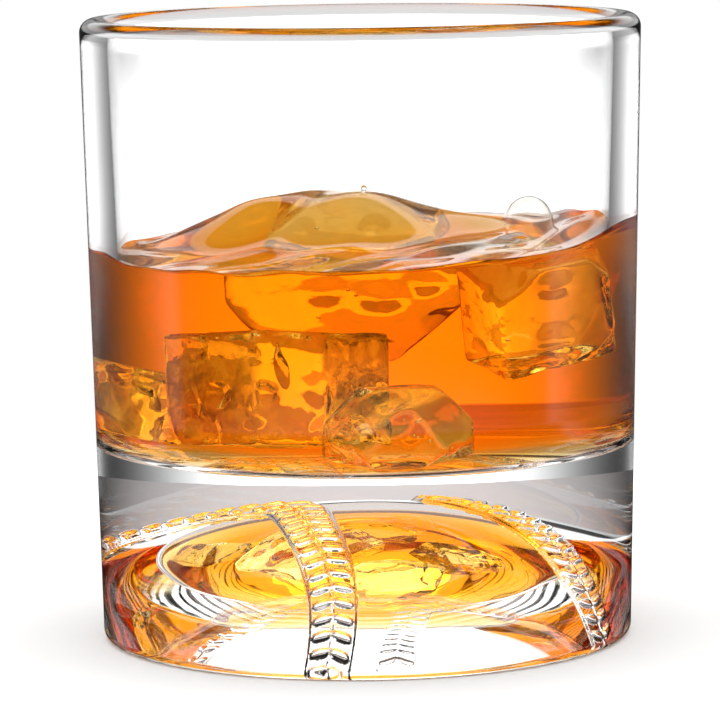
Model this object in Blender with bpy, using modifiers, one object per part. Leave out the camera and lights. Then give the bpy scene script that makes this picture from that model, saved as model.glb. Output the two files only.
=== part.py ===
"""Whiskey tumbler with a stitched-ball relief under its thick base, holding whiskey and five pieces of ice.

Run with: blender --background --python part.py
Metres, +Z up. The origin is the centre of the foot ring, on the table. -Y is the front.
"""

import math

import bmesh
import bpy
from mathutils import Euler, Matrix, Vector

# Glass outside
HEIGHT = 0.094
RIM_RADIUS = 0.0422
BASE_RADIUS = 0.0402
BASE_EDGE_ROUND = 0.0015
FOOT_WIDTH = 0.0036  # from the outside of the base to the edge of the hollow under it

# Glass inside
RIM_WALL = 0.0040
FLOOR_WALL = 0.0046  # wall thickness level with the floor
FLOOR_HEIGHT = 0.0288
FLOOR_CORNER_ROUND = 0.0050
DOME_COVER = 0.0063  # glass between the top of the hollow and the floor of the cup

# Ball seam, moulded on the hollow as a raised band with two rows of stitches
SEAM_NEAREST = math.radians(12.6)  # from the top of the ball to where the band passes nearest it
SEAM_SWING = math.radians(27.2)  # how far each end of the band swings aside
SEAM_TURN = math.radians(208)  # heading of the nearest place on the first band
SEAM_WIDTH = 0.0058
SEAM_RISE = 0.0005
STITCH_PITCH = 0.0029
STITCH_LENGTH = 0.0023
STITCH_WIDTH = 0.0013
STITCH_RISE = 0.00045
STITCH_DEPTH = 0.0018  # of the bar that makes a stitch, most of it inside the band
STITCH_SLANT = math.radians(20)
STITCH_ROW_OFFSET = 0.0014  # from the band's middle line to the middle of a stitch

# Whiskey
WHISKEY_DEPTH = 0.0302  # floor to the mean surface
CONTACT_GAP = 0.0003  # between pieces that touch
SURFACE_TILT_X = 0.032  # the drink is swirling, so it stands a little higher at the right
SURFACE_TILT_Y = 0.012
# each swell of the surface: place x and y, half widths along and across, heading in degrees, rise
SWELLS = [
    (-0.0050, 0.0150, 0.0175, 0.0130, 0, 0.0070),
    (-0.0235, 0.0100, 0.0095, 0.0070, 25, 0.0024),
    (0.0200, 0.0200, 0.0120, 0.0080, -15, 0.0014),
    (0.0370, -0.0040, 0.0080, 0.0240, 0, 0.0026),
    (-0.0370, -0.0050, 0.0060, 0.0200, 0, 0.0010),
]

# Ice. Sizes and places suit a cup of this inside radius, and follow the cup's own.
ICE_SUITS_RADIUS = 0.0358
ICE_GAP = 0.00045  # round each piece of ice, inside the drink
# Each piece is a block with faces broken off it. A cut is a direction and its distance from the
# middle. Turns are in degrees. A piece that floats has the height its proudest corner stands out.
ICE_PIECES = {
    "ice_block": {
        "size": (0.0212, 0.0178, 0.0172),
        "cuts": [((1, 1, 1.2), 0.0158), ((-1, 1, -0.6), 0.0142), ((0.3, 1, 1.6), 0.0120)],
        "turn": (-6.5, 4.6, 35),
        "place": (-0.0104, -0.0080),
    },
    "ice_chip": {
        "size": (0.0195, 0.0125, 0.0124),
        "cuts": [
            ((1, 0.1, 0.9), 0.0078),
            ((-1, -0.3, 0.6), 0.0078),
            ((-0.5, -1, 0.8), 0.0066),
            ((0.7, -1, 0.5), 0.0066),
            ((-0.6, 1, 0.9), 0.0066),
            ((0.1, -0.5, 1), 0.0060),
            ((0.9, -0.6, 0.2), 0.0088),
            ((-0.2, 1, 0.3), 0.0056),
            ((0.8, -0.5, -1), 0.0080),
            ((-0.9, -0.5, -0.8), 0.0086),
        ],
        "turn": (0, 0, 6),
        "place": (0.0045, -0.0238),
    },
    "ice_shard": {
        "size": (0.0105, 0.0115, 0.0115),
        "cuts": [
            ((1, -0.4, 1), 0.0060),
            ((-1, -1, 0.6), 0.0058),
            ((-1, 0.2, -1), 0.0056),
            ((0.3, 1, 1), 0.0066),
        ],
        "turn": (0, 12, 24),
        "place": (-0.0254, 0.0072),
    },
    "ice_crag": {
        "size": (0.0250, 0.0165, 0.0236),
        "cuts": [
            ((-1, -0.2, 1.1), 0.0118),
            ((1, -0.3, 1.5), 0.0116),
            ((-1, 0, -0.55), 0.0120),
            ((-0.3, -0.3, -1), 0.0108),
            ((1, 0.1, -0.8), 0.0108),
            ((0.1, -1, 0.6), 0.0090),
            ((-0.3, 1, 1.1), 0.0108),
            ((0.3, -1, -0.7), 0.0096),
        ],
        "turn": (0, 0, -5),
        "place": (-0.0012, 0.0166),
        "proud": 0.0009,
    },
    "ice_wedge": {
        "size": (0.0165, 0.0140, 0.0166),
        "cuts": [
            ((-1, -0.4, 1.5), 0.0092),
            ((1, 0.8, -0.6), 0.0104),
            ((1, -0.2, 0.9), 0.0102),
            ((0.2, -1, -1), 0.0096),
        ],
        "turn": (10, -8, 26),
        "place": (0.0208, -0.0030),
        "proud": 0.0011,
    },
}

# Materials: colour, roughness and index of refraction
CLEAR_GLASS = ((0.97, 0.98, 0.99), 0.02, 1.5)
AMBER_WHISKEY = ((0.95, 0.42, 0.05), 0.0, 1.36)
CLEAR_ICE = ((0.98, 0.99, 1.0), 0.05, 1.31)

# Resolution
TURN_STEPS = 72
FLOOR_CORNER_STEPS = 5
RIM_STEPS = 8
BASE_EDGE_STEPS = 3
DOME_RINGS = 32
WHISKEY_RINGS = 9
BAND_ROUND_STEPS = 8
SEAM_POINTS = 41
SEAM_SAMPLES = 200
MERGE_DISTANCE = 0.00001
SHARP_ANGLE = math.radians(35)
SEAM_END_ANGLE = 0.05  # the band's bar runs on this far past the foot, so that the cut is clean


def outer_radius(z):
    return BASE_RADIUS + (RIM_RADIUS - BASE_RADIUS) * z / HEIGHT


def inner_radius(z):
    wall = FLOOR_WALL + (RIM_WALL - FLOOR_WALL) * (z - FLOOR_HEIGHT) / (HEIGHT - FLOOR_HEIGHT)
    return outer_radius(z) - wall


LEVEL = FLOOR_HEIGHT + WHISKEY_DEPTH
DOME_TOP = FLOOR_HEIGHT - DOME_COVER
DOME_FOOT_RADIUS = BASE_RADIUS - FOOT_WIDTH
DOME_RADIUS = (DOME_FOOT_RADIUS**2 + DOME_TOP**2) / (2 * DOME_TOP)
DOME_CENTRE = DOME_TOP - DOME_RADIUS
CUP_RADIUS = min(inner_radius(FLOOR_HEIGHT), inner_radius(LEVEL))
ICE_SCALE = CUP_RADIUS / ICE_SUITS_RADIUS


# ---------------------------------------------------------------- helpers


def clear_scene():
    for obj in list(bpy.data.objects):
        bpy.data.objects.remove(obj)


def new_collection(name):
    collection = bpy.data.collections.new(name)
    bpy.context.scene.collection.children.link(collection)
    return collection


def new_material(name, colour, roughness, ior):
    material = bpy.data.materials.new(name)
    material.use_nodes = True
    shader = material.node_tree.nodes["Principled BSDF"]
    shader.inputs["Base Color"].default_value = (*colour, 1)
    shader.inputs["Roughness"].default_value = roughness
    shader.inputs["Metallic"].default_value = 0
    shader.inputs["Transmission Weight"].default_value = 1
    shader.inputs["IOR"].default_value = ior
    material.diffuse_color = (*colour, 1)
    return material


def add_object(name, data, collection, material=None):
    obj = bpy.data.objects.new(name, data)
    collection.objects.link(obj)
    if material:
        data.materials.append(material)
    return obj


def as_cutter(obj):
    obj.hide_render = True
    obj.display_type = "WIRE"
    return obj


def arc(centre_r, centre_z, radius, start, end, steps):
    """Points of an arc in the profile plane, angles in degrees from +X towards +Z."""
    points = []
    for i in range(steps + 1):
        angle = math.radians(start + (end - start) * i / steps)
        points.append((centre_r + radius * math.cos(angle), centre_z + radius * math.sin(angle)))
    return points


def turned_mesh(name, profile):
    """The solid that a profile of (radius, height) points sweeps about Z, as a mesh."""
    mesh = bpy.data.meshes.new(name + "_profile")
    edges = [(i, i + 1) for i in range(len(profile) - 1)]
    mesh.from_pydata([(r, 0, z) for r, z in profile], edges, [])
    obj = bpy.data.objects.new(name + "_profile", mesh)
    bpy.context.scene.collection.objects.link(obj)
    screw = obj.modifiers.new("turn", "SCREW")
    screw.steps = screw.render_steps = TURN_STEPS
    screw.use_merge_vertices = True
    screw.merge_threshold = MERGE_DISTANCE
    bpy.context.view_layer.update()
    graph = bpy.context.evaluated_depsgraph_get()
    turned = bpy.data.meshes.new_from_object(obj.evaluated_get(graph))
    turned.name = name
    bpy.data.objects.remove(obj)
    return turned


def cut(obj, cutter):
    boolean = obj.modifiers.new("cut_" + cutter.name, "BOOLEAN")
    boolean.operation = "DIFFERENCE"
    boolean.object = cutter


# ---------------------------------------------------------------- seam of the ball


def seam_point(side, turn):
    """A point of a ball's seam. The band runs from foot to foot as turn goes from minus to plus."""
    polar = math.pi / 2 - (math.pi / 2 - SEAM_NEAREST) * math.cos(turn)
    heading = SEAM_TURN + side * math.pi + turn / 2 + SEAM_SWING * math.sin(2 * turn)
    plan = DOME_RADIUS * math.sin(polar)
    height = DOME_CENTRE + DOME_RADIUS * math.cos(polar)
    return Vector((plan * math.cos(heading), plan * math.sin(heading), height))


def seam_line(side):
    """A function that gives the point at a distance along one band's middle line, and its length."""
    foot_polar = math.acos(-DOME_CENTRE / DOME_RADIUS) + SEAM_END_ANGLE
    foot_turn = math.acos((math.pi / 2 - foot_polar) / (math.pi / 2 - SEAM_NEAREST))
    fine = [seam_point(side, foot_turn * (i / SEAM_SAMPLES - 1)) for i in range(2 * SEAM_SAMPLES + 1)]
    lengths = [0.0]
    for p, q in zip(fine, fine[1:]):
        lengths.append(lengths[-1] + (q - p).length)

    def at(distance):
        for i in range(1, len(fine)):
            if lengths[i] >= distance:
                share = (distance - lengths[i - 1]) / (lengths[i] - lengths[i - 1])
                return fine[i - 1].lerp(fine[i], share)
        return fine[-1]

    return at, lengths[-1]


def seam_band(side, collection):
    """A round bar sunk in the ball so that a strip of the band's width and rise stands out of it."""
    at, length = seam_line(side)
    bar_radius = ((SEAM_WIDTH / 2) ** 2 + SEAM_RISE**2) / (2 * SEAM_RISE)
    centre = Vector((0, 0, DOME_CENTRE))
    curve = bpy.data.curves.new(f"seam_{side}_path", "CURVE")
    curve.dimensions = "3D"
    curve.bevel_depth = bar_radius
    curve.bevel_resolution = BAND_ROUND_STEPS
    curve.use_fill_caps = True
    spline = curve.splines.new("POLY")
    spline.points.add(SEAM_POINTS - 1)
    for i in range(SEAM_POINTS):
        out = at(length * i / (SEAM_POINTS - 1)) - centre
        place = centre + out.normalized() * (out.length + SEAM_RISE - bar_radius)
        spline.points[i].co = (*place, 1)
    guide = bpy.data.objects.new(curve.name, curve)
    bpy.context.scene.collection.objects.link(guide)
    bpy.context.view_layer.update()
    graph = bpy.context.evaluated_depsgraph_get()
    mesh = bpy.data.meshes.new_from_object(guide.evaluated_get(graph))
    bpy.data.objects.remove(guide)
    shape = bmesh.new()
    shape.from_mesh(mesh)
    bmesh.ops.remove_doubles(shape, verts=shape.verts, dist=MERGE_DISTANCE)
    bmesh.ops.recalc_face_normals(shape, faces=shape.faces)
    shape.to_mesh(mesh)
    shape.free()
    return as_cutter(add_object(f"seam_{side}_band", mesh, collection))


def seam_stitches(side, collection):
    """Slanted stitches in two rows along a band, in Vs that point back along it."""
    at, length = seam_line(side)
    centre = Vector((0, 0, DOME_CENTRE))
    count = int(length / STITCH_PITCH)
    shape = bmesh.new()
    for i in range(1, count):
        distance = length * i / count
        for row in (-1, 1):
            middle = at(distance)
            ahead = (at(distance + STITCH_PITCH / 4) - at(distance - STITCH_PITCH / 4)).normalized()
            out = (middle - centre).normalized()
            across = out.cross(ahead).normalized()
            # the band's round top drops a little towards its sides
            drop = STITCH_ROW_OFFSET**2 * SEAM_RISE / (SEAM_WIDTH / 2) ** 2
            top = SEAM_RISE - drop + STITCH_RISE
            place = middle + across * row * STITCH_ROW_OFFSET + out * (top - STITCH_DEPTH / 2)
            along = Matrix.Rotation(-row * STITCH_SLANT, 3, out) @ across
            frame = Matrix((along, out.cross(along), out)).transposed().to_4x4()
            size = Matrix.Diagonal((STITCH_LENGTH, STITCH_WIDTH, STITCH_DEPTH, 1))
            bmesh.ops.create_cube(shape, size=1, matrix=Matrix.Translation(place) @ frame @ size)
    mesh = bpy.data.meshes.new(f"seam_{side}_stitches")
    shape.to_mesh(mesh)
    shape.free()
    return as_cutter(add_object(mesh.name, mesh, collection))


# ---------------------------------------------------------------- glass


def tumbler(parts, cutters, material):
    rim_round = RIM_WALL / 2
    rim_middle = RIM_RADIUS - rim_round
    rim_z = HEIGHT - rim_round
    corner_z = FLOOR_HEIGHT + FLOOR_CORNER_ROUND
    corner_r = inner_radius(corner_z) - FLOOR_CORNER_ROUND
    edge_r = outer_radius(BASE_EDGE_ROUND) - BASE_EDGE_ROUND
    profile = [(0, FLOOR_HEIGHT)]
    profile += arc(corner_r, corner_z, FLOOR_CORNER_ROUND, -90, 0, FLOOR_CORNER_STEPS)
    profile += arc(rim_middle, rim_z, rim_round, 180, 0, RIM_STEPS)
    profile += arc(edge_r, BASE_EDGE_ROUND, BASE_EDGE_ROUND, 0, -90, BASE_EDGE_STEPS)
    profile += [(0, 0)]
    glass = add_object("tumbler", turned_mesh("tumbler", profile), parts, material)

    ball = bmesh.new()
    bmesh.ops.create_uvsphere(
        ball, u_segments=TURN_STEPS, v_segments=DOME_RINGS, radius=DOME_RADIUS
    )
    bmesh.ops.translate(ball, verts=ball.verts, vec=(0, 0, DOME_CENTRE))
    ball_mesh = bpy.data.meshes.new("ball")
    ball.to_mesh(ball_mesh)
    ball.free()
    cut(glass, as_cutter(add_object("ball", ball_mesh, cutters)))
    for side in (0, 1):
        cut(glass, seam_band(side, cutters))
        cut(glass, seam_stitches(side, cutters))
    return glass


# ---------------------------------------------------------------- ice


def broken_ice(name, piece, parts, material):
    shape = bmesh.new()
    bmesh.ops.create_cube(shape, size=1, matrix=Matrix.Diagonal((*piece["size"], 1)))
    for direction, distance in piece["cuts"]:
        normal = Vector(direction).normalized()
        faces = shape.verts[:] + shape.edges[:] + shape.faces[:]
        made = bmesh.ops.bisect_plane(
            shape, geom=faces, plane_co=normal * distance, plane_no=normal, clear_outer=True
        )
        rim = [e for e in made["geom_cut"] if isinstance(e, bmesh.types.BMEdge)]
        if rim:
            bmesh.ops.contextual_create(shape, geom=rim)
    bmesh.ops.recalc_face_normals(shape, faces=shape.faces)
    mesh = bpy.data.meshes.new(name)
    shape.to_mesh(mesh)
    shape.free()
    turned = Euler([math.radians(angle) for angle in piece["turn"]]).to_matrix().to_4x4()
    fitted = Matrix.Diagonal((ICE_SCALE, ICE_SCALE, 1, 1))
    x, y = piece["place"]
    mesh.transform(fitted @ Matrix.Translation((x, y, 0)) @ turned)
    return add_object(name, mesh, parts, material)


def rise_by(obj, height):
    obj.data.transform(Matrix.Translation((0, 0, height)))


def rest_on(obj, height):
    """Moves a piece so that its lowest point is at this height."""
    rise_by(obj, height - min(v.co.z for v in obj.data.vertices))


def float_at(obj, proud):
    """Moves a piece so that the corner which stands furthest out of the drink does so by this much."""
    rise_by(obj, proud - max(v.co.z - surface_height(v.co.x, v.co.y) for v in obj.data.vertices))


def ice_pieces(parts, material):
    made = []
    for name, piece in ICE_PIECES.items():
        ice = broken_ice(name, piece, parts, material)
        if "proud" in piece:
            float_at(ice, piece["proud"])
        else:
            rest_on(ice, FLOOR_HEIGHT + CONTACT_GAP)
        made.append(ice)
    return made


# ---------------------------------------------------------------- whiskey


def surface_height(x, y):
    """Height of the drink's swirling surface. It tilts, and swells over the tallest ice and at the wall."""
    height = LEVEL + SURFACE_TILT_X * x + SURFACE_TILT_Y * y
    for swell_x, swell_y, along, across, heading, rise in SWELLS:
        turn = math.radians(heading)
        dx = x / ICE_SCALE - swell_x
        dy = y / ICE_SCALE - swell_y
        u = (dx * math.cos(turn) + dy * math.sin(turn)) / along
        v = (dy * math.cos(turn) - dx * math.sin(turn)) / across
        height += rise * math.exp(-((u * u + v * v) ** 1.5))
    return height


def whiskey(ice, parts, cutters, material):
    gap = CONTACT_GAP
    corner_z = FLOOR_HEIGHT + FLOOR_CORNER_ROUND
    corner_r = inner_radius(corner_z) - FLOOR_CORNER_ROUND
    edge = inner_radius(LEVEL) - gap
    rings = [(edge * i / WHISKEY_RINGS, LEVEL) for i in range(WHISKEY_RINGS)]
    bottom = arc(corner_r, corner_z, FLOOR_CORNER_ROUND - gap, 0, -90, FLOOR_CORNER_STEPS)
    profile = rings + [(edge, LEVEL)] + bottom + [(0, FLOOR_HEIGHT + gap)]
    mesh = turned_mesh("whiskey", profile)
    for vertex in mesh.vertices:
        if abs(vertex.co.z - LEVEL) > MERGE_DISTANCE:
            continue
        height = surface_height(vertex.co.x, vertex.co.y)
        vertex.co.xy *= (inner_radius(height) - gap) / edge
        vertex.co.z = height
    drink = add_object("whiskey", mesh, parts, material)
    for piece in ice:
        hollow = add_object(piece.name + "_hollow", piece.data.copy(), cutters)
        grow = hollow.modifiers.new("gap", "DISPLACE")
        grow.mid_level = 0
        grow.strength = ICE_GAP
        cut(drink, as_cutter(hollow))
    return drink


# ---------------------------------------------------------------- the whole thing


def main():
    clear_scene()
    parts = new_collection("whiskey_tumbler")
    cutters = new_collection("cutters")
    glass_material = new_material("clear_glass", *CLEAR_GLASS)
    whiskey_material = new_material("amber_whiskey", *AMBER_WHISKEY)
    ice_material = new_material("clear_ice", *CLEAR_ICE)
    glass = tumbler(parts, cutters, glass_material)
    ice = ice_pieces(parts, ice_material)
    drink = whiskey(ice, parts, cutters, whiskey_material)
    for obj in [glass, drink]:
        obj.data.shade_smooth()
        obj.data.set_sharp_from_angle(angle=SHARP_ANGLE)


main()
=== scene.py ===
# Whiskey tumbler with a stitched ball relief in its base, whiskey and ice: the looks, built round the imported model
import math

import bmesh
import bpy
import numpy as np
from mathutils import Matrix, Vector


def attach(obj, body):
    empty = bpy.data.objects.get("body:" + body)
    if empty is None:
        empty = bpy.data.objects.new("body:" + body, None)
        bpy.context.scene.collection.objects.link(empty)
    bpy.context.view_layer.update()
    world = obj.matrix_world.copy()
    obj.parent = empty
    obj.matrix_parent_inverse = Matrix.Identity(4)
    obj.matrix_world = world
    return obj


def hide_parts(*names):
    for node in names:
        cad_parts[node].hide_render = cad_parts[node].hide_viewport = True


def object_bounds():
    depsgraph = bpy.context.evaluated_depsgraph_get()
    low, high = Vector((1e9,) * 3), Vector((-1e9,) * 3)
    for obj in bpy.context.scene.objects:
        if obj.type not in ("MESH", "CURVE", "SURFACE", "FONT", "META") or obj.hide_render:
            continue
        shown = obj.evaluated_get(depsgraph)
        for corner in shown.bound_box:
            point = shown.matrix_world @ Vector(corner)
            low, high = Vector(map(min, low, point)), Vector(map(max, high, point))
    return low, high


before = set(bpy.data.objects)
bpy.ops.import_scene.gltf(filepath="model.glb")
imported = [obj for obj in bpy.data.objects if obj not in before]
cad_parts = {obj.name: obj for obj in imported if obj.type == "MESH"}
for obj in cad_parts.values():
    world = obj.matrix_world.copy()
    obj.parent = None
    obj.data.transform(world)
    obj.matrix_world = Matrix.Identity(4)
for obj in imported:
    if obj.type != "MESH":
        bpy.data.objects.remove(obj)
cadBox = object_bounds()
print("frame loaded")

mm = 0.001
tiny = 0.001 * mm  # lengths below this count as nothing
scene = bpy.context.scene


# small helpers

def newObject(name, data):
    obj = bpy.data.objects.new(name, data)
    scene.collection.objects.link(obj)
    return obj


def meshFromBmesh(name, shape):
    mesh = bpy.data.meshes.new(name)
    shape.to_mesh(mesh)
    shape.free()
    return mesh


def applyModifiers(obj):
    # the evaluated result becomes the object's plain mesh
    bpy.context.view_layer.update()
    graph = bpy.context.evaluated_depsgraph_get()
    mesh = bpy.data.meshes.new_from_object(obj.evaluated_get(graph))
    old = obj.data
    obj.modifiers.clear()
    obj.data = mesh
    bpy.data.meshes.remove(old)
    mesh.name = obj.name


def smoothShade(obj, sharpAngle):
    # smooth all over, apart from edges that turn more than sharpAngle degrees
    obj.data.shade_smooth()
    obj.data.set_sharp_from_angle(angle=math.radians(sharpAngle))


def arcPoints(centreR, centreZ, radius, start, end, steps):
    # angles in degrees, from +X towards +Z
    points = []
    for i in range(steps + 1):
        angle = math.radians(start + (end - start) * i / steps)
        points.append((centreR + radius * math.cos(angle), centreZ + radius * math.sin(angle)))
    return points


def linePoints(start, end, steps):
    # the points between two profile points, without either end
    return [
        (start[0] + (end[0] - start[0]) * i / steps, start[1] + (end[1] - start[1]) * i / steps)
        for i in range(1, steps)
    ]


def turnProfile(shape, profile, segments):
    # a closed solid swept by a profile that starts and ends on the axis
    rings = []
    for radius, z in profile:
        if radius < tiny:
            rings.append([shape.verts.new((0, 0, z))])
            continue
        ring = []
        for k in range(segments):
            angle = 2 * math.pi * k / segments
            ring.append(shape.verts.new((radius * math.cos(angle), radius * math.sin(angle), z)))
        rings.append(ring)
    for low, high in zip(rings, rings[1:]):
        for k in range(segments):
            after = (k + 1) % segments
            corners = [low[k % len(low)], low[after % len(low)], high[after % len(high)], high[k % len(high)]]
            corners = list(dict.fromkeys(corners))
            shape.faces.new(corners)
    bmesh.ops.recalc_face_normals(shape, faces=shape.faces)
    return rings


# node trees

class TreeMaker:
    def __init__(self, tree):
        self.tree = tree

    def node(self, kind, *inputs, **settings):
        # inputs are sockets or values, by place or, in named, by name
        made = self.tree.nodes.new(kind)
        named = settings.pop("named", {})
        for key, value in settings.items():
            setattr(made, key, value)
        for slot, value in list(enumerate(inputs)) + list(named.items()):
            self.feed(made.inputs[slot], value)
        return made

    def feed(self, socket, value):
        if isinstance(value, bpy.types.NodeSocket):
            self.tree.links.new(value, socket)
        else:
            socket.default_value = value

    # the helpers below return the socket to link on

    def math(self, operation, *values, clamp=False):
        return self.node("ShaderNodeMath", *values, operation=operation, use_clamp=clamp).outputs[0]

    def vector(self, operation, *values):
        made = self.node("ShaderNodeVectorMath", *values, operation=operation)
        return made.outputs["Value" if operation in ("LENGTH", "DOT_PRODUCT") else "Vector"]

    def scaled(self, vector, factor):
        made = self.node("ShaderNodeVectorMath", vector, operation="SCALE", named={"Scale": factor})
        return made.outputs["Vector"]

    def smoothStep(self, value, start, end, low=0.0, high=1.0):
        # low up to start, high from end on, and a soft change between them
        return self.node("ShaderNodeMapRange", value, start, end, low, high,
                         interpolation_type="SMOOTHSTEP").outputs[0]


def geometryTree(name, sizes, objects=()):
    # a tree with a named float input for each size and a named object input for each guide
    tree = bpy.data.node_groups.new(name, "GeometryNodeTree")
    tree.is_modifier = True
    tree.interface.new_socket("Geometry", in_out="INPUT", socket_type="NodeSocketGeometry")
    tree.interface.new_socket("Geometry", in_out="OUTPUT", socket_type="NodeSocketGeometry")
    for size in sizes:
        tree.interface.new_socket(size, in_out="INPUT", socket_type="NodeSocketFloat")
    for guide in objects:
        tree.interface.new_socket(guide, in_out="INPUT", socket_type="NodeSocketObject")
    make = TreeMaker(tree)
    source = tree.nodes.new("NodeGroupInput")
    return tree, make, source.outputs


def addTree(obj, tree, values):
    modifier = obj.modifiers.new(tree.name, "NODES")
    modifier.node_group = tree
    for item in tree.interface.items_tree:
        if item.in_out == "INPUT" and item.name in values:
            modifier[item.identifier] = values[item.name]


def endTree(make, geometry, material):
    # realised, with its material, as the last steps of every tree
    real = make.node("GeometryNodeRealizeInstances", geometry)
    dressed = make.node("GeometryNodeSetMaterial", real.outputs[0], named={"Material": material})
    make.node("NodeGroupOutput", dressed.outputs[0])


# camera

cameraPlace = {
    "distance": 656.7 * mm,
    "aside": -0.64 * mm,
    "height": 123.6 * mm,
    "tiltDown": 7.11,  # degrees, as is the roll
    "roll": 0.743,
    "lens": 217.83,  # in the camera's own millimetres, as is the sensor
    "sensor": 36,
    "clipStart": 0.05,
    "clipEnd": 50,
}


def makeCamera():
    data = bpy.data.cameras.new("camera")
    data.lens = cameraPlace["lens"]
    data.sensor_width = cameraPlace["sensor"]
    data.clip_start = cameraPlace["clipStart"]
    data.clip_end = cameraPlace["clipEnd"]
    camera = newObject("camera", data)
    camera.location = (cameraPlace["aside"], -cameraPlace["distance"], cameraPlace["height"])
    aim = Matrix.Rotation(math.radians(90 - cameraPlace["tiltDown"]), 4, "X")
    roll = Matrix.Rotation(math.radians(-cameraPlace["roll"]), 4, "Z")
    camera.rotation_euler = (aim @ roll).to_euler()
    scene.camera = camera
    print("camera placed")


makeCamera()


# studio

# panels glow behind the glass and, narrower, at both its sides
# spreads, feet, footBlur, shadeFade and nearFade are in degrees; tops and gaps are the height of a direction
studio = {
    "panelLow": 2.8,  # strength of the panels' lower part
    "panelHigh": 1.2,  # and of their upper part
    "panelGround": 0.75,  # and of their glow on the table
    "backSpread": 26.5,
    "highSpread": 46.0,
    "groundSpread": 36.0,
    "sideSpread": 13.0,
    "sideHighSpread": 21.0,
    "sideFade": (-0.06, 0.1),
    "rightSide": 0.2,  # the right panel against the left one
    "leftShade": 0.2,  # how far each side of the back panel is dimmed
    "rightShade": 0.52,
    "shadeFade": (10, 20),
    "roomGround": 0.085,  # the room between the panels
    "nearGround": 0.8,
    "nearFade": (-13, -11),
    "roomLow": 0.06,
    "roomHigh": 0.12,
    "frontRoom": 0.02,
    "frontFade": (-0.3, 0.0),
    "highFoot": -4.6,
    "lowFoot": -8.2,
    "footBlur": 0.5,
    "topLight": 1.7,
    "topStart": 0.04,
    "topEnd": 0.13,
    "panelTop": 0.16,
    "panelTopFade": 0.06,
    "gapLevel": 0.1,  # the dark gap between the top of the back panel and the overhead light
    "gap": 0.33,
    "gapSides": (0.45, 0.8),
    "reflected": 0.04,  # mirror reflections see little of the panels, as if each had a black flag
    "mirroredTopStart": 0.28,
    "mirroredTopEnd": 0.42,
    "mirroredFoot": (0.02, 0.08),
    "floorRadius": 0.20,
    "floorSegments": 96,
    "floorSeen": (0.66, 0.66, 0.66, 1),
    # colour of the panels' glow painted on the table, as the glass shows it
    "floorGlowTint": (1.0, 0.93, 0.92, 1),
    "softboxPower": 5.0,
    "softboxSize": (1.0, 0.8),
    "softboxPlace": (0, 0.05, 1.0),
}
white = (1, 1, 1, 1)


def glow(make, angle, spread, strength):
    share = make.math("DIVIDE", angle, math.radians(spread))
    fade = make.math("EXPONENT", make.math("MULTIPLY", make.math("MULTIPLY", share, share), -1.0))
    return make.math("MULTIPLY", fade, strength)


def backwardness(make, x, y):
    # 1 straight behind the glass, 0 at its sides, -1 towards the camera
    flat = make.node("ShaderNodeCombineXYZ", x, y, 0.0).outputs[0]
    return make.math("DIVIDE", y, make.vector("LENGTH", flat))


def panelLevel(make, x, y, strength, room, spread, sideSpread, rightSide=1.0, leftShade=0.0,
               rightShade=0.0):
    # how bright the studio is in the direction of x, y; the camera's side is nearly dark
    back = backwardness(make, x, y)
    heading = make.math("ARCTAN2", make.math("ABSOLUTE", x), y)
    fromSide = make.math("SUBTRACT", math.pi / 2, heading)
    onRight = make.math("GREATER_THAN", x, 0.0)
    shade = make.math("MULTIPLY_ADD", onRight, leftShade - rightShade, -leftShade)
    turnedAside = make.smoothStep(heading, *(math.radians(angle) for angle in studio["shadeFade"]))
    behind = glow(make, heading, spread, strength)
    behind = make.math("MULTIPLY", behind, make.math("MULTIPLY_ADD", turnedAside, shade, 1.0))
    side = glow(make, fromSide, sideSpread, strength)
    side = make.math("MULTIPLY", side, make.math("MULTIPLY_ADD", onRight, rightSide - 1, 1.0))
    side = make.math("MULTIPLY", side, make.smoothStep(back, *studio["sideFade"]))
    room = make.smoothStep(back, *studio["frontFade"], studio["frontRoom"], room)
    return make.math("ADD", make.math("ADD", behind, side), room)


def groundLevel(make, x, y):
    return panelLevel(make, x, y, studio["panelGround"], studio["roomGround"], studio["groundSpread"],
                      studio["sideSpread"])


def mirrored(make, path):
    # 1 for rays whose last turn was a mirror reflection
    return make.math("SUBTRACT", path.outputs["Is Glossy Ray"], path.outputs["Is Transmission Ray"],
                     clamp=True)


def unflagged(make, path):
    return make.math("MULTIPLY_ADD", mirrored(make, path), studio["reflected"] - 1, 1.0)


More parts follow.
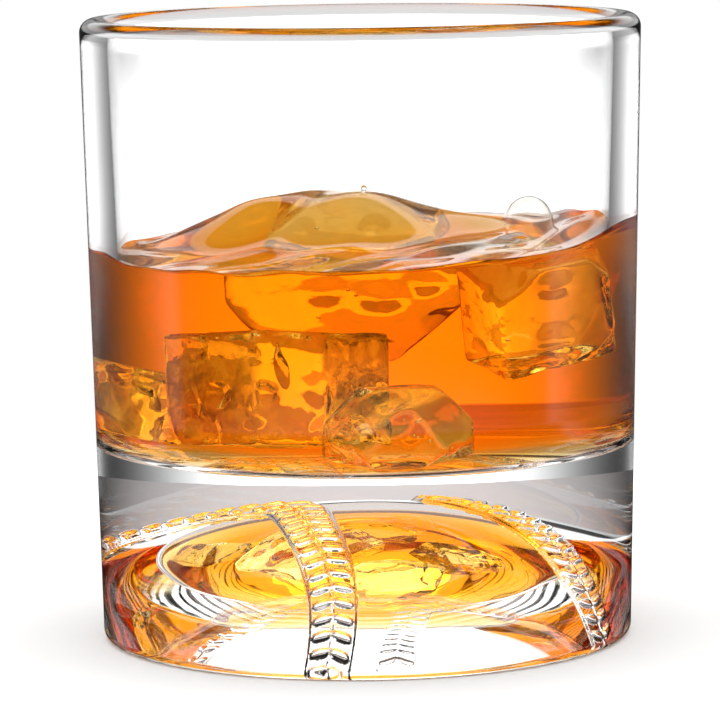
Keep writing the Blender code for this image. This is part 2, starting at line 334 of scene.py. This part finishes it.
def makeWorld():
    world = bpy.data.worlds.new("studio")
    scene.world = world
    world.use_nodes = True
    tree = world.node_tree
    tree.nodes.clear()
    make = TreeMaker(tree)
    direction = make.node("ShaderNodeTexCoord").outputs["Generated"]
    x, y, z = make.node("ShaderNodeSeparateXYZ", direction).outputs
    elevation = make.math("ARCSINE", z)
    low = panelLevel(make, x, y, studio["panelLow"], studio["roomLow"], studio["backSpread"],
                     studio["sideSpread"])
    high = panelLevel(make, x, y, studio["panelHigh"], studio["roomHigh"], studio["highSpread"],
                      studio["sideHighSpread"], studio["rightSide"], studio["leftShade"], studio["rightShade"])
    # upwards from the table: its near part, its far part, then the two parts of the panels
    nearStart, nearEnd = (math.radians(angle) for angle in studio["nearFade"])
    wall = make.smoothStep(elevation, nearStart, nearEnd, studio["nearGround"], groundLevel(make, x, y))
    blur = math.radians(studio["footBlur"])
    for foot, level in ((math.radians(studio["lowFoot"]), low), (math.radians(studio["highFoot"]), high)):
        wall = make.smoothStep(elevation, foot - blur, foot + blur, wall, level)
    # a dark gap parts the top of the back panel from the overhead light
    wall = make.math("MULTIPLY", wall, make.smoothStep(
        z, studio["panelTop"], studio["panelTop"] + studio["panelTopFade"], 1.0, studio["gapLevel"]))
    behind = make.smoothStep(backwardness(make, x, y), *studio["gapSides"])
    lowered = make.math("MULTIPLY_ADD", behind, -studio["gap"], z)
    whole = make.smoothStep(lowered, studio["topStart"], studio["topEnd"])
    strip = make.smoothStep(z, studio["mirroredTopStart"], studio["mirroredTopEnd"], 1.0, 0.0)
    strip = make.math("MULTIPLY", strip, make.smoothStep(z, *studio["mirroredFoot"]))
    path = make.node("ShaderNodeLightPath")
    overhead = make.smoothStep(mirrored(make, path), 0.0, 1.0, whole, strip)
    lift = make.math("MULTIPLY", overhead, make.math("SUBTRACT", studio["topLight"], wall))
    wall = make.math("MULTIPLY", wall, unflagged(make, path))
    shine = make.node("ShaderNodeBackground", white, make.math("ADD", wall, lift))
    seen = make.node("ShaderNodeBackground", white, 1.0)
    mixed = make.node("ShaderNodeMixShader", path.outputs["Is Camera Ray"], shine.outputs[0], seen.outputs[0])
    make.node("ShaderNodeOutputWorld", mixed.outputs[0])


def makeFloor():
    # a pale round table top; what the glass shows of it is not lit but a painted glow, an emission shaped like the
    # panels' light on it
    shape = bmesh.new()
    bmesh.ops.create_circle(shape, cap_ends=True, segments=studio["floorSegments"], radius=studio["floorRadius"])
    floor = newObject("floor", meshFromBmesh("floor", shape))
    material = bpy.data.materials.new("paleFloor")
    material.use_nodes = True
    material.node_tree.nodes.clear()
    make = TreeMaker(material.node_tree)
    place = make.node("ShaderNodeTexCoord").outputs["Object"]
    x, y, z = make.node("ShaderNodeSeparateXYZ", place).outputs
    path = make.node("ShaderNodeLightPath")
    # camera rays see the lit table top; all other rays see the painted glow of the panels on it
    direct = make.node("ShaderNodeBsdfDiffuse", studio["floorSeen"])
    paintedGlow = make.node("ShaderNodeEmission", studio["floorGlowTint"],
                          make.math("MULTIPLY", groundLevel(make, x, y), unflagged(make, path)))
    mixed = make.node("ShaderNodeMixShader", path.outputs["Is Camera Ray"], paintedGlow.outputs[0],
                      direct.outputs[0])
    make.node("ShaderNodeOutputMaterial", mixed.outputs[0])
    floor.data.materials.append(material)


def makeLights():
    data = bpy.data.lights.new("overheadSoftbox", "AREA")
    data.shape = "RECTANGLE"
    data.size, data.size_y = studio["softboxSize"]
    data.energy = studio["softboxPower"]
    light = newObject("overheadSoftbox", data)
    light.location = studio["softboxPlace"]
    light.visible_glossy = False
    print("studio lit")


makeWorld()
makeFloor()
makeLights()
scene.view_settings.view_transform = "Standard"
# glass, whiskey and ice behind one another need many turns of light
scene.cycles.max_bounces = 24
scene.cycles.transmission_bounces = 20
scene.cycles.glossy_bounces = 20
scene.cycles.transparent_max_bounces = 12
scene.cycles.sample_clamp_indirect = 6


# materials

# waves: scale, detail, strength and distance of the bump that unevens a surface
# tint and density: the absorption inside
clearStuff = {
    "glass": {"name": "clearGlass", "index": 1.5, "waves": (60, 1, 0.25, 0.05 * mm),
              "tint": (0.80, 0.84, 0.86, 1), "density": 3.0},
    "whiskey": {"name": "amberWhiskey", "index": 1.36, "waves": (110, 1, 0.2, 0.05 * mm),
                "tint": (0.992, 0.765, 0.0, 1), "density": 130.0},
    "ice": {"name": "clearIce", "index": 1.6, "waves": (420, 2, 0.35, 0.08 * mm)},
}


def clearMaterial(look):
    material = bpy.data.materials.new(look["name"])
    material.use_nodes = True
    nodes = material.node_tree.nodes
    make = TreeMaker(material.node_tree)
    shader = nodes["Principled BSDF"]
    values = {"Base Color": white, "Roughness": 0.0, "IOR": look["index"], "Transmission Weight": 1.0}
    for key, value in values.items():
        shader.inputs[key].default_value = value
    scale, detail, strength, distance = look["waves"]
    place = make.node("ShaderNodeTexCoord").outputs["Object"]
    noise = make.node("ShaderNodeTexNoise", named={"Vector": place, "Scale": scale, "Detail": detail})
    bump = make.node("ShaderNodeBump", named={"Strength": strength, "Distance": distance,
                                              "Height": noise.outputs[0]})
    make.feed(shader.inputs["Normal"], bump.outputs[0])
    if "tint" in look:
        volume = make.node("ShaderNodeVolumeAbsorption", look["tint"], look["density"])
        make.feed(nodes["Material Output"].inputs["Volume"], volume.outputs[0])
    return material


materials = {stuff: clearMaterial(look) for stuff, look in clearStuff.items()}
print("materials mixed")


# tumbler

glassShape = {
    "height": cadBox[1][2] - cadBox[0][2],
    "rimRadius": cadBox[1][0],
    "baseRadius": 40.2 * mm,
    "rimWall": 4.0 * mm,
    "floorWall": 4.6 * mm,
    "floorHeight": 28.8 * mm,
    "cornerRound": 5.0 * mm,
    "edgeRound": 1.5 * mm,
    "ballTop": 22.5 * mm,
    "ballFootRadius": 36.6 * mm,
    "segments": 192,
    "floorRings": 24,
    "cornerRings": 14,
    "innerRings": 30,
    "rimRings": 20,
    "outerRings": 40,
    "edgeRings": 8,
    "footRings": 4,
    "domeRings": 40,
    "sharpAngle": 50,
}
ballRadius = (glassShape["ballFootRadius"] ** 2 + glassShape["ballTop"] ** 2) / (2 * glassShape["ballTop"])
ballCentre = glassShape["ballTop"] - ballRadius

# two bands with two rows of stitches each, over the ball
seam = {
    "nearest": 12.6,  # how near a band comes to the top of the ball, in degrees, as are the next two
    "swing": 27.2,
    "turn": 208.0,
    "pastFoot": 0.06,  # how far the bands run on below the foot, in radians
    "guideSteps": 700,
    "bandWidth": 5.8 * mm,
    "bandRise": 0.45 * mm,
    "bandEdge": 0.35 * mm,
    "pitch": 2.9 * mm,  # from stitch to stitch
    "stitchLength": 2.7 * mm,
    "stitchWidth": 1.8 * mm,
    "stitchRise": 0.62 * mm,
    "lengthPower": 3.0,  # a stitch's outline: 2 is an ellipse, more is squarer
    "widthPower": 2.2,
    "slant": 0.36,
    "rowOffset": 1.4 * mm,
    "ridgeWidth": 0.28 * mm,
    "ridgeRise": 0.22 * mm,
    "waveSize": 75.0,
    "waveRise": 0.3 * mm,
    "waveStart": 4 * mm,
    "fineCell": 0.235 * mm,  # cells near the bands are halved down to this
    "fineReach": 3.3 * mm,
    "fineSpread": 0.4 * mm,
    "fineRounds": 4,
    "fineSamples": 150,
}


def outerRadius(z):
    g = glassShape
    return g["baseRadius"] + (g["rimRadius"] - g["baseRadius"]) * z / g["height"]


def innerRadius(z):
    g = glassShape
    share = (z - g["floorHeight"]) / (g["height"] - g["floorHeight"])
    return outerRadius(z) - g["floorWall"] - (g["rimWall"] - g["floorWall"]) * share


def seamPoint(side, turn):
    polar = math.pi / 2 - (math.pi / 2 - math.radians(seam["nearest"])) * math.cos(turn)
    heading = math.radians(seam["turn"]) + side * math.pi + turn / 2
    heading += math.radians(seam["swing"]) * math.sin(2 * turn)
    plan = ballRadius * math.sin(polar)
    return Vector((plan * math.cos(heading), plan * math.sin(heading), ballCentre + ballRadius * math.cos(polar)))


def seamLine(side, steps):
    # a band's middle line, from one end below the foot, over the ball, to the other
    footPolar = math.acos(-ballCentre / ballRadius) + seam["pastFoot"]
    reach = math.acos((math.pi / 2 - footPolar) / (math.pi / 2 - math.radians(seam["nearest"])))
    return [seamPoint(side, reach * (2 * i / steps - 1)) for i in range(steps + 1)]


def seamGuide():
    # both middle lines as one curve object, a spline for each
    curve = bpy.data.curves.new("seamGuide", "CURVE")
    curve.dimensions = "3D"
    for side in (0, 1):
        spline = curve.splines.new("POLY")
        spline.points.add(seam["guideSteps"])
        for point, place in zip(spline.points, seamLine(side, seam["guideSteps"])):
            point.co = (*place, 1)
    return newObject("seamGuide", curve)


def refineDome(shape, domeFaces):
    # halves the cells along the bands until they are fine enough for the stitches
    samples = np.array(seamLine(0, seam["fineSamples"]) + seamLine(1, seam["fineSamples"]))
    centre = Vector((0, 0, ballCentre))
    mark = shape.faces.layers.int["dome"]
    for step in range(seam["fineRounds"]):
        faces = [f for f in domeFaces if f.is_valid]
        middles = np.array([f.calc_center_median() for f in faces])
        nearest = np.full(len(faces), 1.0)
        for sample in samples:
            nearest = np.minimum(nearest, np.linalg.norm(middles - sample, axis=1))
        reach = seam["fineReach"] + (seam["fineRounds"] - 1 - step) * seam["fineSpread"]
        edges = set()
        for face, distance in zip(faces, nearest):
            if distance < reach + 0.5 * math.sqrt(face.calc_area()):
                edges.update(e for e in face.edges if e.calc_length() > seam["fineCell"])
        if not edges:
            break
        edges = sorted(edges, key=lambda e: e.index)
        bmesh.ops.subdivide_edges(shape, edges=edges, cuts=1, use_grid_fill=True)
        shape.verts.index_update()
        shape.edges.index_update()
        domeFaces = [f for f in shape.faces if f[mark]]
        for vert in {v for f in domeFaces for v in f.verts}:
            out = vert.co - centre
            vert.co = centre + out.normalized() * ballRadius
    big = [f for f in shape.faces if len(f.verts) > 4]
    bmesh.ops.triangulate(shape, faces=big)


def tumblerMesh():
    g = glassShape
    cornerZ = g["floorHeight"] + g["cornerRound"]
    cornerR = innerRadius(cornerZ) - g["cornerRound"]
    rimRound = g["rimWall"] / 2
    rimMiddle = g["rimRadius"] - rimRound
    rimZ = g["height"] - rimRound
    edgeR = outerRadius(g["edgeRound"]) - g["edgeRound"]
    footPolar = math.degrees(math.acos(-ballCentre / ballRadius))
    floorMiddle = (0, g["floorHeight"])
    corner = arcPoints(cornerR, cornerZ, g["cornerRound"], -90, 0, g["cornerRings"])
    rim = arcPoints(rimMiddle, rimZ, rimRound, 180, 0, g["rimRings"])
    edge = arcPoints(edgeR, g["edgeRound"], g["edgeRound"], 0, -90, g["edgeRings"])
    profile = [floorMiddle] + linePoints(floorMiddle, (cornerR, g["floorHeight"]), g["floorRings"])
    profile += corner + linePoints(corner[-1], rim[0], g["innerRings"]) + rim
    profile += linePoints(rim[-1], edge[0], g["outerRings"]) + edge
    profile += linePoints(edge[-1], (g["ballFootRadius"], 0), g["footRings"])
    domeStart = len(profile)
    polarStep = footPolar / g["domeRings"]
    for i in range(g["domeRings"] + 1):
        polar = math.radians(footPolar - polarStep * i)
        profile.append((ballRadius * math.sin(polar), ballCentre + ballRadius * math.cos(polar)))
    profile[-1] = (0, g["ballTop"])
    shape = bmesh.new()
    mark = shape.faces.layers.int.new("dome")
    rings = turnProfile(shape, profile, g["segments"])
    domeVerts = {v for ring in rings[domeStart:] for v in ring}
    domeFaces = [f for f in shape.faces if all(v in domeVerts for v in f.verts)]
    for face in domeFaces:
        face[mark] = 1
    shape.edges.index_update()
    refineDome(shape, domeFaces)
    onBall = shape.verts.layers.float.new("onBall")
    for face in shape.faces:
        if face[mark]:
            for vert in face.verts:
                vert[onBall] = 1
    return meshFromBmesh("tumbler", shape)


def seamTree():
    # raises the bands and their stitches on the ball, from the nearest place on the guide
    sizes = ["bandWidth", "bandRise", "bandEdge", "pitch", "stitchLength", "stitchWidth", "stitchRise",
             "lengthPower", "widthPower", "slant", "rowOffset", "ridgeWidth", "ridgeRise", "waveSize",
             "waveRise", "waveStart", "ballCentre"]
    tree, make, given = geometryTree("seamRelief", sizes, ["guide"])
    guide = make.node("GeometryNodeObjectInfo", given["guide"]).outputs["Geometry"]
    captured = make.node("GeometryNodeCaptureAttribute", guide)
    captured.capture_items.new("FLOAT", "length")
    make.feed(captured.inputs[1], make.node("GeometryNodeSplineParameter").outputs["Length"])
    onCurve = make.node("GeometryNodeCurveToPoints", captured.outputs[0], mode="EVALUATED")
    points = onCurve.outputs["Points"]
    spot = make.node("GeometryNodeInputPosition").outputs[0]
    nearest = make.node("GeometryNodeSampleNearest", points).outputs[0]

    def sample(kind, value):
        return make.node("GeometryNodeSampleIndex", data_type=kind, named={
            "Geometry": points, "Value": value, "Index": nearest}).outputs[0]

    place = sample("FLOAT_VECTOR", spot)
    ahead = sample("FLOAT_VECTOR", onCurve.outputs["Tangent"])
    reached = sample("FLOAT", captured.outputs[1])
    centre = make.node("ShaderNodeCombineXYZ", 0.0, 0.0, given["ballCentre"]).outputs[0]
    out = make.vector("NORMALIZE", make.vector("SUBTRACT", spot, centre))
    offset = make.vector("SUBTRACT", spot, place)
    along = make.math("ADD", reached, make.vector("DOT_PRODUCT", offset, ahead))
    across = make.vector("DOT_PRODUCT", offset, make.vector("CROSS_PRODUCT", out, ahead))
    aside = make.math("ABSOLUTE", across)
    halfBand = make.math("MULTIPLY", given["bandWidth"], 0.5)
    band = make.smoothStep(aside, make.math("ADD", halfBand, given["bandEdge"]), halfBand)
    # a stitch is a rounded lozenge: 1 at its middle, 0 at its outline
    leaning = make.math("SUBTRACT", along, make.math("MULTIPLY", aside, given["slant"]))
    turns = make.math("DIVIDE", leaning, given["pitch"])
    phase = make.math("SUBTRACT", make.math("FRACT", turns), 0.5)
    u = make.math("DIVIDE", make.math("SUBTRACT", aside, given["rowOffset"]),
                  make.math("MULTIPLY", given["stitchLength"], 0.5))
    v = make.math("DIVIDE", make.math("MULTIPLY", phase, given["pitch"]),
                  make.math("MULTIPLY", given["stitchWidth"], 0.5))
    outline = make.math("ADD", make.math("POWER", make.math("ABSOLUTE", u), given["lengthPower"]),
                        make.math("POWER", make.math("ABSOLUTE", v), given["widthPower"]))
    crown = make.math("SQRT", make.math("MAXIMUM", make.math("SUBTRACT", 1.0, outline), 0.0))
    rise = make.math("ADD", make.math("MULTIPLY", band, given["bandRise"]),
                     make.math("MULTIPLY", crown, given["stitchRise"]))
    ridge = make.smoothStep(aside, given["ridgeWidth"], 0.0)
    rise = make.math("ADD", rise, make.math("MULTIPLY", ridge, given["ridgeRise"]))
    onBall = make.node("GeometryNodeInputNamedAttribute", "onBall", data_type="FLOAT").outputs[0]
    noise = make.node("ShaderNodeTexNoise", named={"Vector": spot, "Scale": given["waveSize"],
                                                   "Detail": 1.0}).outputs[0]
    height = make.node("ShaderNodeSeparateXYZ", spot).outputs[2]
    above = make.node("ShaderNodeMapRange", height, 0.0, given["waveStart"], 0.0, 1.0).outputs[0]
    wave = make.math("MULTIPLY", make.math("MULTIPLY", make.math("SUBTRACT", noise, 0.5), above),
                     given["waveRise"])
    rise = make.math("MULTIPLY", make.math("ADD", rise, wave), onBall)
    raised = make.node("GeometryNodeSetPosition", given["Geometry"], named={
        "Offset": make.scaled(out, rise)})
    endTree(make, raised.outputs[0], materials["glass"])
    return tree


def makeTumbler():
    glass = newObject("tumblerGlass", tumblerMesh())
    guide = seamGuide()
    addTree(glass, seamTree(), {**seam, "ballCentre": ballCentre, "guide": guide})
    applyModifiers(glass)
    bpy.data.objects.remove(guide)
    for name in ("onBall", "dome"):
        if name in glass.data.attributes:
            glass.data.attributes.remove(glass.data.attributes[name])
    smoothShade(glass, glassShape["sharpAngle"])
    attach(glass, "tumbler")
    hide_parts("tumbler")
    print("tumbler built,", len(glass.data.polygons), "faces")


makeTumbler()


# whiskey

drink = {
    "level": 59.0 * mm,
    "tiltX": 0.032,
    "tiltY": 0.012,
    "intoGlass": 0.10 * mm,  # how far it overlaps the glass and the ice, so that no air parts them
    "intoIce": 0.05 * mm,
    "rings": 80,
    "wallRings": 16,
    "cornerRings": 12,
    "floorRings": 20,
    "segments": 192,
    "meniscus": 0.9 * mm,
    "meniscusReach": 1.2 * mm,
    "swellPower": 1.5,  # 1 is a bell, more has a flatter top
    "ripple": 0.25 * mm,
    "crossWaves": (260, 210),  # radians to a metre
    "slantWaves": (430, -380),
    "slantShare": 0.6,
    "sharpAngle": 35,
}
# each swell of the surface, in millimetres: place x, y, half widths along and across, heading in degrees, height
swells = [
    (-5.0, 15.0, 17.5, 13.0, 0, 7.0),
    (-23.5, 10.0, 9.5, 7.0, 25, 2.4),
    (20.0, 20.0, 12.0, 8.0, -15, 1.4),
    (37.0, -4.0, 8.0, 24.0, 0, 2.6),
    (-37.0, -5.0, 6.0, 20.0, 0, 1.0),
]


def surfaceHeight(x, y):
    height = drink["level"] + drink["tiltX"] * x + drink["tiltY"] * y
    for px, py, long, wide, heading, rise in swells:
        turn = math.radians(heading)
        dx, dy = x - px * mm, y - py * mm
        u = (dx * math.cos(turn) + dy * math.sin(turn)) / (long * mm)
        v = (dy * math.cos(turn) - dx * math.sin(turn)) / (wide * mm)
        height = height + rise * mm * np.exp(-(u ** 2 + v ** 2) ** drink["swellPower"])
    crossX, crossY = drink["crossWaves"]
    slantX, slantY = drink["slantWaves"]
    ripple = np.sin(crossX * x + 1.0) * np.sin(crossY * y)
    ripple = ripple + drink["slantShare"] * np.sin(slantX * x + slantY * y)
    return height + drink["ripple"] * ripple


ice = {
    "mergeDistance": 0.01 * mm,
    "flatAngle": 1,
    "edgeWear": 0.4 * mm,
    "edgeSteps": 2,
    "cell": 0.37 * mm,
    "softening": 3,
    "dentSize": 0.17,  # dents per millimetre
    "dentFloor": 0.12,  # where a dent's floor ends and its rim starts, in cells
    "dentRim": 0.52,
    "dentDepth": 0.95 * mm,
    "dentShare": 0.62,
    "rippleSize": 0.34,
    "rippleDepth": 0.25 * mm,
    "flawRoom": 0.66,  # share of a piece, round its middle, that holds cracks and bubbles
    "crackWidth": 3.4 * mm,
    "crackGap": 0.12 * mm,
    "bubbleRadius": 0.24 * mm,
    "flawSmallest": 0.45,  # against the largest
    "flawTurn": 1.9,
    "coreShare": 0.15,  # of a piece's box, that its room for flaws fills
    "coreCells": 24.0,
}
# for each piece: its body, how many cracks and how many bubbles
icePieceKinds = {
    "ice_block": ("block", 2, 14),
    "ice_chip": ("chip", 1, 5),
    "ice_shard": ("shard", 0, 4),
    "ice_crag": ("crag", 0, 6),
    "ice_wedge": ("wedge", 0, 6),
}


def dentTree():
    # scallops and ripples melted into a piece of ice
    sizes = ["dentSize", "dentFloor", "dentRim", "dentDepth", "dentShare", "rippleSize", "rippleDepth"]
    tree, make, given = geometryTree("meltedDents", sizes)
    spot = make.node("GeometryNodeInputPosition").outputs[0]
    smoother = make.node("GeometryNodeBlurAttribute", data_type="FLOAT_VECTOR", named={
        "Value": spot, "Iterations": ice["softening"]})
    evened = make.node("GeometryNodeSetPosition", given["Geometry"], named={"Position": smoother.outputs[0]})
    inMillimetres = make.scaled(spot, 1 / mm)
    cell = make.node("ShaderNodeTexVoronoi", feature="F1", named={
        "Vector": inMillimetres, "Scale": given["dentSize"]})
    draw = make.node("ShaderNodeSeparateXYZ", cell.outputs["Color"]).outputs[0]
    chosen = make.math("LESS_THAN", draw, given["dentShare"])
    hollow = make.smoothStep(cell.outputs["Distance"], given["dentFloor"], given["dentRim"], 1.0, 0.0)
    dent = make.math("MULTIPLY", make.math("MULTIPLY", hollow, chosen), given["dentDepth"])
    noise = make.node("ShaderNodeTexNoise", named={"Vector": inMillimetres, "Scale": given["rippleSize"],
                                                   "Detail": 1.5}).outputs[0]
    ripple = make.math("MULTIPLY", noise, given["rippleDepth"])
    inward = make.math("MULTIPLY", make.math("ADD", dent, ripple), -1.0)
    push = make.scaled(make.node("GeometryNodeInputNormal").outputs[0], inward)
    moved = make.node("GeometryNodeSetPosition", evened.outputs[0], named={"Offset": push})
    endTree(make, moved.outputs[0], materials["ice"])
    return tree


def flawTree():
    # flat cracks and round bubbles closed in a piece of ice
    sizes = ["flawRoom", "coreCells", "coreShare", "cracks", "crackWidth", "crackGap", "bubbles",
             "bubbleRadius", "flawSmallest", "seed"]
    tree, make, given = geometryTree("crackedIce", sizes)
    box = make.node("GeometryNodeBoundBox", given["Geometry"])
    middle = make.scaled(make.vector("ADD", box.outputs["Min"], box.outputs["Max"]), 0.5)
    fromMiddle = make.node("GeometryNodeTransform", given["Geometry"], named={
        "Translation": make.scaled(middle, -1.0)})
    room = make.node("ShaderNodeCombineXYZ", given["flawRoom"], given["flawRoom"], given["flawRoom"])
    core = make.node("GeometryNodeTransform", fromMiddle.outputs[0], named={
        "Translation": middle, "Scale": room.outputs[0]})
    volume = make.node("GeometryNodeMeshToVolume", core.outputs[0], resolution_mode="VOXEL_AMOUNT",
                       named={"Voxel Amount": given["coreCells"]})
    extent = make.vector("SUBTRACT", box.outputs["Max"], box.outputs["Min"])
    x, y, z = make.node("ShaderNodeSeparateXYZ", extent).outputs
    bulk = make.math("MULTIPLY", make.math("MULTIPLY", x, y), make.math("MULTIPLY", z, given["coreShare"]))
    ball = make.node("GeometryNodeMeshIcoSphere", named={"Radius": 1.0, "Subdivisions": 4})
    shells = [given["Geometry"]]
    for count, wide, thin, draws in (("cracks", "crackWidth", "crackGap", 0),
                                     ("bubbles", "bubbleRadius", "bubbleRadius", 7)):
        points = make.node("GeometryNodeDistributePointsInVolume", volume.outputs[0], mode="DENSITY_RANDOM",
                           named={"Density": make.math("DIVIDE", given[count], bulk),
                                  "Seed": make.math("ADD", given["seed"], float(draws))})
        size = make.node("FunctionNodeRandomValue", data_type="FLOAT", named={"Seed": draws + 3})
        make.feed(size.inputs[2], given["flawSmallest"])
        make.feed(size.inputs[3], 1.0)
        width = make.math("MULTIPLY", given[wide], size.outputs[1])
        depth = make.math("MULTIPLY", given[thin], size.outputs[1])
        scale = make.node("ShaderNodeCombineXYZ", width, width, depth)
        turn = make.node("FunctionNodeRandomValue", data_type="FLOAT_VECTOR", named={"Seed": draws + 5})
        make.feed(turn.inputs[0], (-ice["flawTurn"],) * 3)
        make.feed(turn.inputs[1], (ice["flawTurn"],) * 3)
        placed = make.node("GeometryNodeInstanceOnPoints", points.outputs[0], named={
            "Instance": ball.outputs[0], "Rotation": turn.outputs[0], "Scale": scale.outputs[0]})
        real = make.node("GeometryNodeRealizeInstances", placed.outputs[0])
        smooth = make.node("GeometryNodeSetShadeSmooth", real.outputs[0])
        shells.append(make.node("GeometryNodeFlipFaces", smooth.outputs[0]).outputs[0])
    joined = tree.nodes.new("GeometryNodeJoinGeometry")
    for shell in reversed(shells):
        tree.links.new(shell, joined.inputs[0])
    endTree(make, joined.outputs[0], materials["ice"])
    return tree


iceTrees = {"dents": dentTree(), "flaws": flawTree()}


def addRemesh(piece):
    # even cells, and no surface that crosses itself
    remesh = piece.modifiers.new("evenCells", "REMESH")
    remesh.mode = "VOXEL"
    remesh.voxel_size = ice["cell"]


def makeIce(node, body):
    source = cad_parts[node]
    shape = bmesh.new()
    shape.from_mesh(source.data)
    bmesh.ops.remove_doubles(shape, verts=shape.verts, dist=ice["mergeDistance"])
    bmesh.ops.dissolve_limit(shape, angle_limit=math.radians(ice["flatAngle"]), verts=shape.verts,
                             edges=shape.edges)
    piece = newObject(body + "Ice", meshFromBmesh(body + "Ice", shape))
    bevel = piece.modifiers.new("wornEdges", "BEVEL")
    bevel.width = ice["edgeWear"]
    bevel.segments = ice["edgeSteps"]
    bevel.limit_method = "NONE"
    addRemesh(piece)
    applyModifiers(piece)
    addTree(piece, iceTrees["dents"], ice)
    applyModifiers(piece)
    addRemesh(piece)
    soften = piece.modifiers.new("soften", "SMOOTH")
    soften.iterations = ice["softening"]
    applyModifiers(piece)
    piece.data.materials.clear()
    piece.data.materials.append(materials["ice"])
    piece.data.shade_smooth()
    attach(piece, body)
    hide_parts(node)
    return piece


def addFlaws(piece, cracks, bubbles, seed):
    counts = {"cracks": float(cracks), "bubbles": float(bubbles), "seed": float(seed)}
    addTree(piece, iceTrees["flaws"], {**ice, **counts})
    applyModifiers(piece)


def makeWhiskey(icePieces):
    g = glassShape
    overlap = drink["intoGlass"]
    level = drink["level"]
    cornerZ = g["floorHeight"] + g["cornerRound"]
    cornerR = innerRadius(cornerZ) - g["cornerRound"]
    wallR = innerRadius(level) + overlap
    top = [(0, level)] + linePoints((0, level), (wallR, level), drink["rings"])
    wallSteps = drink["wallRings"]
    heights = [cornerZ + (level - cornerZ) * (1 - i / wallSteps) for i in range(wallSteps)]
    wall = [(innerRadius(height) + overlap, height) for height in heights]
    bottom = arcPoints(cornerR, cornerZ, g["cornerRound"] + overlap, 0, -90, drink["cornerRings"])
    floorMiddle = (0, bottom[-1][1])
    floor = linePoints(bottom[-1], floorMiddle, drink["floorRings"]) + [floorMiddle]
    shape = bmesh.new()
    rings = turnProfile(shape, top + wall + bottom + floor, drink["segments"])
    for ring in rings[:len(top) + 1]:
        for vert in ring:
            x, y = vert.co.x, vert.co.y
            radius = math.hypot(x, y)
            fromWall = max(0.0, wallR - radius)
            height = float(surfaceHeight(x, y))
            height += drink["meniscus"] * math.exp(-fromWall / drink["meniscusReach"])
            vert.co.z = height
            if fromWall < tiny:
                vert.co.xy *= (innerRadius(height) + overlap) / radius
    body = newObject("whiskeyDrink", meshFromBmesh("whiskeyDrink", shape))
    for piece in icePieces:
        hollow = newObject(piece.name + "Hollow", piece.data.copy())
        shrink = hollow.modifiers.new("overlap", "DISPLACE")
        shrink.mid_level = 0
        shrink.strength = -drink["intoIce"]
        cut = body.modifiers.new("hollow", "BOOLEAN")
        cut.operation = "DIFFERENCE"
        cut.object = hollow
    applyModifiers(body)
    for piece in icePieces:
        bpy.data.objects.remove(bpy.data.objects[piece.name + "Hollow"])
    body.data.materials.clear()
    body.data.materials.append(materials["whiskey"])
    smoothShade(body, drink["sharpAngle"])
    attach(body, "tumbler")
    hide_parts("whiskey")
    print("whiskey poured")


bubble = {"x": 26.5 * mm, "y": 16.0 * mm, "radius": 4.2 * mm, "film": 0.25 * mm, "sunk": 0.3 * mm,
          "crown": 88, "rings": 24, "segments": 64, "sharpAngle": 60}
droplet = {"x": 0.3 * mm, "y": 12.5 * mm, "radius": 0.55 * mm, "subdivisions": 4}


def makeFroth():
    # a bubble that rests on the drink by the wall, and a drop thrown up over the crest
    outer = bubble["radius"]
    inner = outer - bubble["film"]
    shape = bmesh.new()
    shell = arcPoints(0, 0, outer, bubble["crown"], 0, bubble["rings"])
    shell += arcPoints(0, 0, inner, 0, bubble["crown"], bubble["rings"])
    turnProfile(shape, [(0, outer)] + shell + [(0, inner)], bubble["segments"])
    place = (bubble["x"], bubble["y"], surfaceHeight(bubble["x"], bubble["y"]) - bubble["sunk"])
    bmesh.ops.translate(shape, verts=shape.verts, vec=place)
    above = (droplet["x"], droplet["y"], surfaceHeight(droplet["x"], droplet["y"]) + droplet["radius"])
    bmesh.ops.create_icosphere(shape, subdivisions=droplet["subdivisions"], radius=droplet["radius"],
                               matrix=Matrix.Translation(above))
    froth = newObject("whiskeyFroth", meshFromBmesh("whiskeyFroth", shape))
    froth.data.materials.append(materials["whiskey"])
    smoothShade(froth, bubble["sharpAngle"])
    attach(froth, "tumbler")
    print("bubble and droplet added")


icePieces = [makeIce(node, body) for node, (body, cracks, bubbles) in icePieceKinds.items()]
print("ice broken")
makeWhiskey(icePieces)
makeFroth()
# the flaws come after the whiskey, which is hollowed by the plain pieces
for seed, (piece, (body, cracks, bubbles)) in enumerate(zip(icePieces, icePieceKinds.values())):
    addFlaws(piece, cracks, bubbles, seed)
    print(piece.name, "has", len(piece.data.polygons), "faces")
